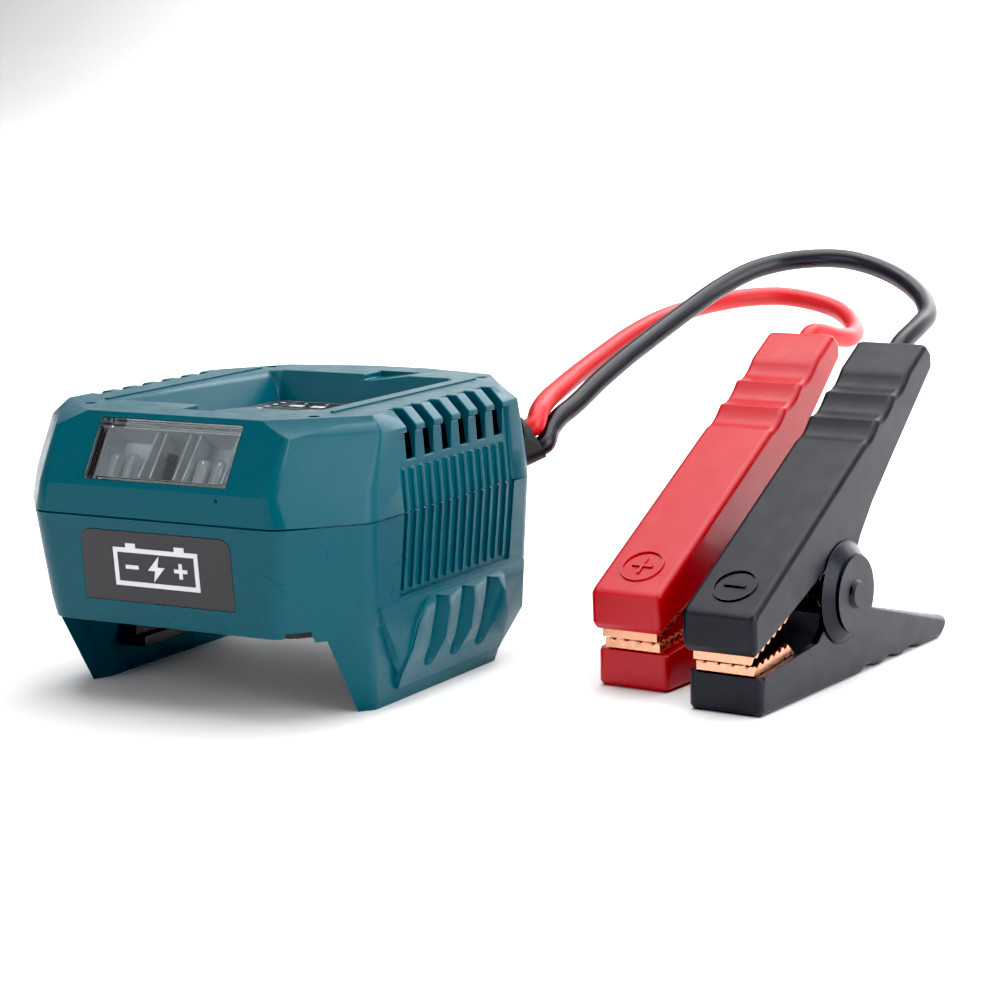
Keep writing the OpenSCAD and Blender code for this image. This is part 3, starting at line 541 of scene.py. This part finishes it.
def light_tray():
    """Metallised tray of the work light: two cells with sloping ends, open to the lens."""
    half_x, half_y, back, front = TRAY
    bm = bmesh.new()
    rims = []
    for level, inset in ((front, 0.0), (CELL_FLOOR, 1.6)):
        rims.append([bm.verts.new(on_slope(x, y, level)) for x, y in
                     ((-half_x + inset, -half_y + inset * 0.4), (half_x - inset, -half_y + inset * 0.4),
                      (half_x - inset, half_y - inset), (-half_x + inset, half_y - inset))])
    outer = [bm.verts.new(on_slope(x, y, back)) for x, y in
             ((-half_x, -half_y), (half_x, -half_y), (half_x, half_y), (-half_x, half_y))]
    for k in range(4):
        n = (k + 1) % 4
        bm.faces.new((rims[0][k], rims[0][n], rims[1][n], rims[1][k]))
        bm.faces.new((outer[k], outer[n], rims[0][n], rims[0][k]))
    bm.faces.new(rims[1])
    bm.faces.new(list(reversed(outer)))
    bmesh.ops.recalc_face_normals(bm, faces=bm.faces)
    mesh = bpy.data.meshes.new("light_tray")
    bm.to_mesh(mesh)
    bm.free()
    obj = place("light_tray", mesh, "housing", MIRROR, ["led_reflector"])
    bevel = obj.modifiers.new("soft_edges", "BEVEL")
    bevel.width = 0.4 * MM
    bevel.segments = 3
    baked(obj)
    smooth(obj.data, 40)
    return obj


def tray_rim():
    """A frame round the tray, behind the lens's skirt."""
    bm = bmesh.new()
    corners = ((-1, -1), (1, -1), (1, 1), (-1, 1))
    loops = [[bm.verts.new(on_slope(sx * x, sy * y, z)) for sx, sy in corners]
             for x, y, z in ((21.6, 8.2, -5.3), (TRAY[0] - 0.1, TRAY[1] - 0.1, -5.3),
                             (TRAY[0] - 0.1, TRAY[1] - 0.1, -5.6), (21.6, 8.2, -5.6))]
    for a, b in zip(loops, loops[1:] + loops[:1]):
        for k in range(4):
            bm.faces.new((a[k], a[(k + 1) % 4], b[(k + 1) % 4], b[k]))
    bmesh.ops.recalc_face_normals(bm, faces=bm.faces)
    mesh = bpy.data.meshes.new("tray_rim")
    bm.to_mesh(mesh)
    bm.free()
    return place("tray_rim", mesh, "housing", MIRROR)


def light_guide(x, y_top, radius, depth):
    """A round-ended guide that stands in the lower half of a cell."""
    low = -TRAY[1] + 0.1
    straight = [low + (y_top - radius - low) * k / 4 for k in range(5)]
    dome = [math.radians(a) for a in (20, 40, 58, 74, 86)]
    points = [on_slope(x, y, depth) for y in straight]
    points += [on_slope(x, y_top - radius + radius * math.sin(a), depth) for a in dome]
    radii = [radius * MM] * len(straight) + [radius * MM * math.cos(a) for a in dome]
    return tube(points, radii, 28)


def threaded_post(x, y_low, y_high, depth):
    """The screw between the two cells."""
    pitch = 0.8
    points, radii = [], []
    for k in range(int((y_high - y_low) / pitch * 2)):
        points.append(on_slope(x, y_low + k * pitch / 2, depth))
        radii.append((1.5 if k % 2 else 1.2) * MM)
    return tube(points, radii, 24)


def wall_between(x_low, x_high, y_low, y_high, lean):
    """A thin clear wall from the tray's floor towards the lens, leaning sideways at its top."""
    half = 0.3
    bm = bmesh.new()
    verts = []
    for z in (CELL_FLOOR + 0.1, -2.6):
        for x, y in ((x_low, y_low), (x_low + lean, y_high), (x_high + lean, y_high), (x_high, y_low)):
            verts.append(bm.verts.new(on_slope(x + (half if x > 0 else -half), y, z)))
    for face in ((0, 1, 2, 3), (7, 6, 5, 4), (0, 4, 5, 1), (1, 5, 6, 2), (2, 6, 7, 3), (3, 7, 4, 0)):
        bm.faces.new([verts[k] for k in face])
    bmesh.ops.recalc_face_normals(bm, faces=bm.faces)
    bmesh.ops.bevel(bm, geom=list(bm.edges), offset=0.12 * MM, segments=2, profile=0.5, affect="EDGES")
    mesh = bpy.data.meshes.new("wall")
    bm.to_mesh(mesh)
    bm.free()
    smooth(mesh, 40)
    return mesh


light_tray()
tray_rim()
guides = [light_guide(x, 0.9, 1.9, -5.6) for x in (-17.2, -12.2, 9.6, 14.6)]
place("light_guides", joined(guides, "light_guides"), "housing", CHROME)
walls = [wall_between(x - 0.35, x + 0.35, -6.3, 6.2, lean)
         for x, lean in ((-6.8, 2.2), (-3.2, 1.2), (3.4, 1.4), (6.2, 1.8), (18.0, 1.2))]
place("cell_walls", joined(walls, "cell_walls"), "housing", OPTIC)
place("cell_post", threaded_post(-0.4, -6.4, 1.6, -5.4), "housing", DARK_STEEL)

# ---------------------------------------------------------------- prints on the control panel
PANEL_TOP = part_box("control_panel")[1].z
PRINT = 0.04


def print_on_panel(name, outlines, material):
    """Flat prints on the control panel, from outlines in the housing's millimetres."""
    base = Matrix.Translation((housing.x, housing.y, PANEL_TOP))
    place(name, joined([plate(o, PRINT, base) for o in outlines], name), "housing", material)


def bar(x, y, w, h):
    return moved([(-w / 2, -h / 2), (w / 2, -h / 2), (w / 2, h / 2), (-w / 2, h / 2)], x, y)


def dot(x, y, r):
    turns = [math.radians(30 * k) for k in range(12)]
    return [(x + r * math.cos(a), y + r * math.sin(a)) for a in turns]


def bolt(x, y, k):
    shape = ((0.3, 1.0), (-0.75, -0.15), (-0.12, -0.15), (-0.3, -1.0), (0.75, 0.15), (0.12, 0.15))
    return [(x + px * k, y + py * k) for px, py in shape]


white_marks = [bolt(-13, -8.5, 2.4), bar(-13, 11.5, 2.6, 2.6)]
white_marks += [bar(-21.5, y, 1.6, 0.9) for y in (20, 24, 28, 32)]
white_marks += [dot(-14 + 7 * k, 32.2, 0.5) for k in range(5)]
white_marks += [dot(-13 + 3.2 * math.cos(a), 11.5 + 3.2 * math.sin(a), 0.35)
                for a in (math.radians(45 * k) for k in range(8))]
print_on_panel("panel_marks", white_marks, WHITE)
grey_marks = [bar(0, 35.2, 44, 0.4), bar(0, 22.4, 44, 0.4), bar(-18, 28.8, 0.4, 12.4),
              bar(18, 28.8, 0.4, 12.4), bar(0, 1.5, 40, 0.3), bar(0, -17.5, 40, 0.3)]
print_on_panel("panel_lines", grey_marks, GREY)

# ---------------------------------------------------------------- leads
GLAND = Vector((45.6, 46, 58))
GLAND_YAW = math.radians(43)
GLAND_TILT = math.radians(30)
GLAND_OUT = 5
GLAND_RISE = 1.5
LEAD_D = 5.6
# Half the distance between the two leads at the gland, and how far the lug lies under the arm's top
HALF_GAP = 3
LUG_DROP = 9


def gland_exit(up, out):
    """A point on the boot's tilted mouth: up or down from its middle, and a distance out of it."""
    along = GLAND_OUT + out * math.cos(GLAND_TILT) - up * HALF_GAP * math.sin(GLAND_TILT)
    rise = GLAND_RISE + out * math.sin(GLAND_TILT) + up * HALF_GAP * math.cos(GLAND_TILT)
    step = Vector((along * math.cos(GLAND_YAW), along * math.sin(GLAND_YAW), rise))
    return housing + (GLAND + step) * MM


def top_line(s):
    """Height of the upper arm's top line at a distance from the jaw's tip."""
    return 27.2 + (s + 2) * math.tan(math.radians(30.5))


def lead_end(name):
    """The end of a lead: through the hole in the handle's end and along the arm to the lug."""
    return [CLAMP[name] @ Vector((0, s * MM, z * MM)) for s, z in (
        (101, 83), (97.2, 80.5), (92.5, 77.5), (84, 71.2),
        (52, top_line(52) - LUG_DROP), (46, top_line(46) - LUG_DROP))]


def lead(name, up, middle, color):
    start = gland_exit(up, 0)
    route = [start, gland_exit(up, 2)] + [Vector(p) * MM for p in middle]
    line = curve_through(route + lead_end(name))
    obj = place(name + "_lead_tube", tube(line, LEAD_D / 2 * MM, 28), "housing", color,
                [name + "_lead"])
    return obj


lead("black", -1, (
    (4.9, 21.5, 61), (5.3, 26, 63.8), (7, 33, 67), (9.2, 43, 72.3), (12.2, 54, 77.8), (15.8, 66, 83.3),
    (20, 79, 89.3), (25, 90.5, 95), (31, 99.5, 99.3), (38, 106.5, 101.5), (46, 110, 102.4),
    (55, 111, 102.4), (64, 109.5, 101), (73, 106, 98.5), (80.5, 101, 95.6), (86, 95.5, 92.6),
    (89.6, 88.5, 89.2), (89.9, 80, 86.6)), BLACK_LEAD)
lead("red", 1, (
    (2.6, 19.4, 66.2), (1.6, 26, 68.6), (1.5, 33, 70.6), (1.8, 44, 73.8), (3.2, 57, 77.8),
    (5.3, 71, 82.2), (8.4, 86, 85.8), (12, 99, 87.6), (17, 110, 88.9), (23, 118, 89.6),
    (30.5, 124, 89.5), (39, 126.5, 88.1), (47, 125.5, 86), (53.8, 120, 83.4), (58.5, 112, 81),
    (60, 103.5, 80.2), (58.8, 95, 81.5), (57.3, 89.5, 82.8)), RED_LEAD)

# ---------------------------------------------------------------- stage and lights
def floor_material():
    n = Nodes("studio_white")
    tone = n.noise(4.0, 2.0, 0.5)
    body = n.mix(tone, (0.90, 0.90, 0.905, 1), (0.93, 0.93, 0.935, 1))
    return n.surface(Base_Color=body, Roughness=0.7, Specular_IOR_Level=0.15)


def stage_floor():
    """A pale floor that curves up behind the object."""
    bm = bmesh.new()
    profile = [(-3.0, 0.0), (1.0, 0.0)]
    profile += [(1.0 + 0.8 * math.sin(a), 0.8 - 0.8 * math.cos(a))
                for a in (math.radians(10 * k) for k in range(1, 10))]
    profile += [(1.8, 5.0)]
    turn = Matrix.Rotation(math.radians(-29.4), 4, "Z")
    columns = [[bm.verts.new(turn @ Vector((x, y, z))) for y, z in profile] for x in (-7.0, 7.0)]
    for i in range(len(profile) - 1):
        bm.faces.new((columns[0][i], columns[1][i], columns[1][i + 1], columns[0][i + 1]))
    bmesh.ops.recalc_face_normals(bm, faces=bm.faces)
    mesh = bpy.data.meshes.new("floor")
    bm.to_mesh(mesh)
    bm.free()
    obj = bpy.data.objects.new("floor", mesh)
    scene.collection.objects.link(obj)
    mesh.materials.append(floor_material())
    smooth(mesh, 30)
    return obj


def area_light(name, spot, target, size, watts):
    data = bpy.data.lights.new(name, "AREA")
    data.shape = "RECTANGLE"
    data.size, data.size_y = size
    data.energy = watts
    obj = bpy.data.objects.new(name, data)
    scene.collection.objects.link(obj)
    obj.location = spot
    obj.rotation_mode = "QUATERNION"
    obj.rotation_quaternion = (Vector(target) - Vector(spot)).to_track_quat("-Z", "Y")
    return obj


stage_floor()
centre = (0, 0, 0.04)
area_light("top", (0.1, 0.1, 1.1), centre, (1.2, 1.2), 15)
area_light("right_side", (1.0, -0.2, 0.45), centre, (0.7, 0.9), 8)
area_light("front_fill", (-0.5, -1.1, 0.5), centre, (0.8, 0.6), 3)
area_light("wall_wash", (-0.3, 0.9, 1.8), (-1.0, 2.4, 0.8), (1.8, 0.8), 140)

world = bpy.data.worlds.new("studio")
scene.world = world
world.use_nodes = True
background = world.node_tree.nodes["Background"]
background.inputs["Color"].default_value = (1, 1, 1, 1)
background.inputs["Strength"].default_value = 0.3

# ---------------------------------------------------------------- camera
camera = bpy.data.cameras.new("camera")
camera.sensor_width = 36
camera.lens = 96.85
view = bpy.data.objects.new("camera", camera)
scene.collection.objects.link(view)
scene.camera = view
forward = Vector((-0.48429, 0.85872, -0.16753)).normalized()
right = forward.cross(Vector((0, 0, 1))).normalized()
above = right.cross(forward)
roll = math.radians(-1.06)
right, above = (right * math.cos(roll) + above * math.sin(roll),
                above * math.cos(roll) - right * math.sin(roll))
spot = housing + Vector((401.2, -594.05, 166.8)) * MM
view.matrix_world = Matrix(((right.x, above.x, -forward.x, spot.x),
                            (right.y, above.y, -forward.y, spot.y),
                            (right.z, above.z, -forward.z, spot.z), (0, 0, 0, 1)))

scene.view_settings.view_transform = "Standard"
scene.view_settings.use_curve_mapping = True
scene.view_settings.curve_mapping.black_level = (0.014, 0.014, 0.014)
scene.view_settings.curve_mapping.update()
